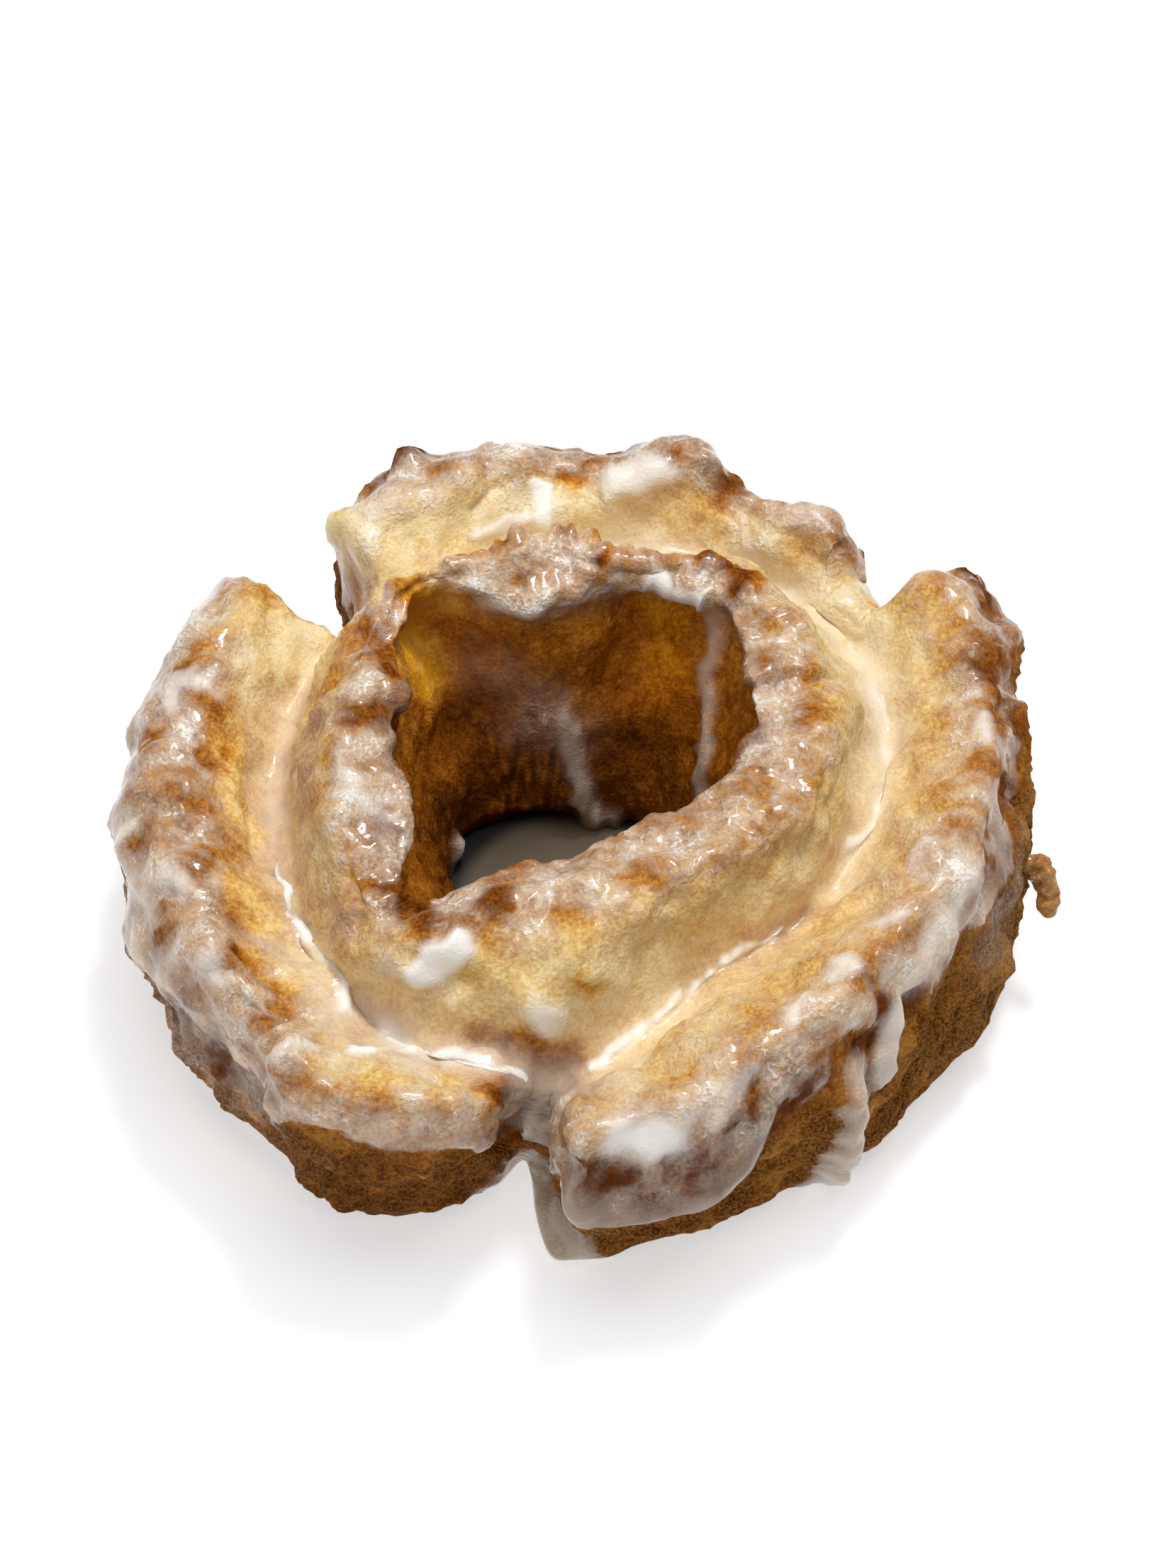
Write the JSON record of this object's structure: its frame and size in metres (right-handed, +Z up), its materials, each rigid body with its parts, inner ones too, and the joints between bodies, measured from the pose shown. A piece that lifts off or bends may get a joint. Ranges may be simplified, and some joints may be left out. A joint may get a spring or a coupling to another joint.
{
  "type": "old-fashioned doughnut",
  "caption": "Glazed old-fashioned cake doughnut: a craggy fried ring with a raised collar round its hole, a split top and a wreath of petals.",
  "frame": {"origin": "under the middle of the outline, on the floor that the doughnut rests on", "axes": "+Z up along the hole, out of the split top; +X to the right and -Y towards the viewer, with the narrow gap between two petals at -Y"},
  "size_m": [0.0876, 0.0864, 0.0312],
  "materials": {
    "fried_cake": "fried cake batter: dark golden-brown grainy sides, yellow crumb in the split, wet with glaze on top",
    "glaze": "set sugar glaze: thin, milky and glossy, with thicker white runs"
  },
  "bodies": {
    "root": {"doughnut": "fried_cake"}
  },
  "joints": []
}
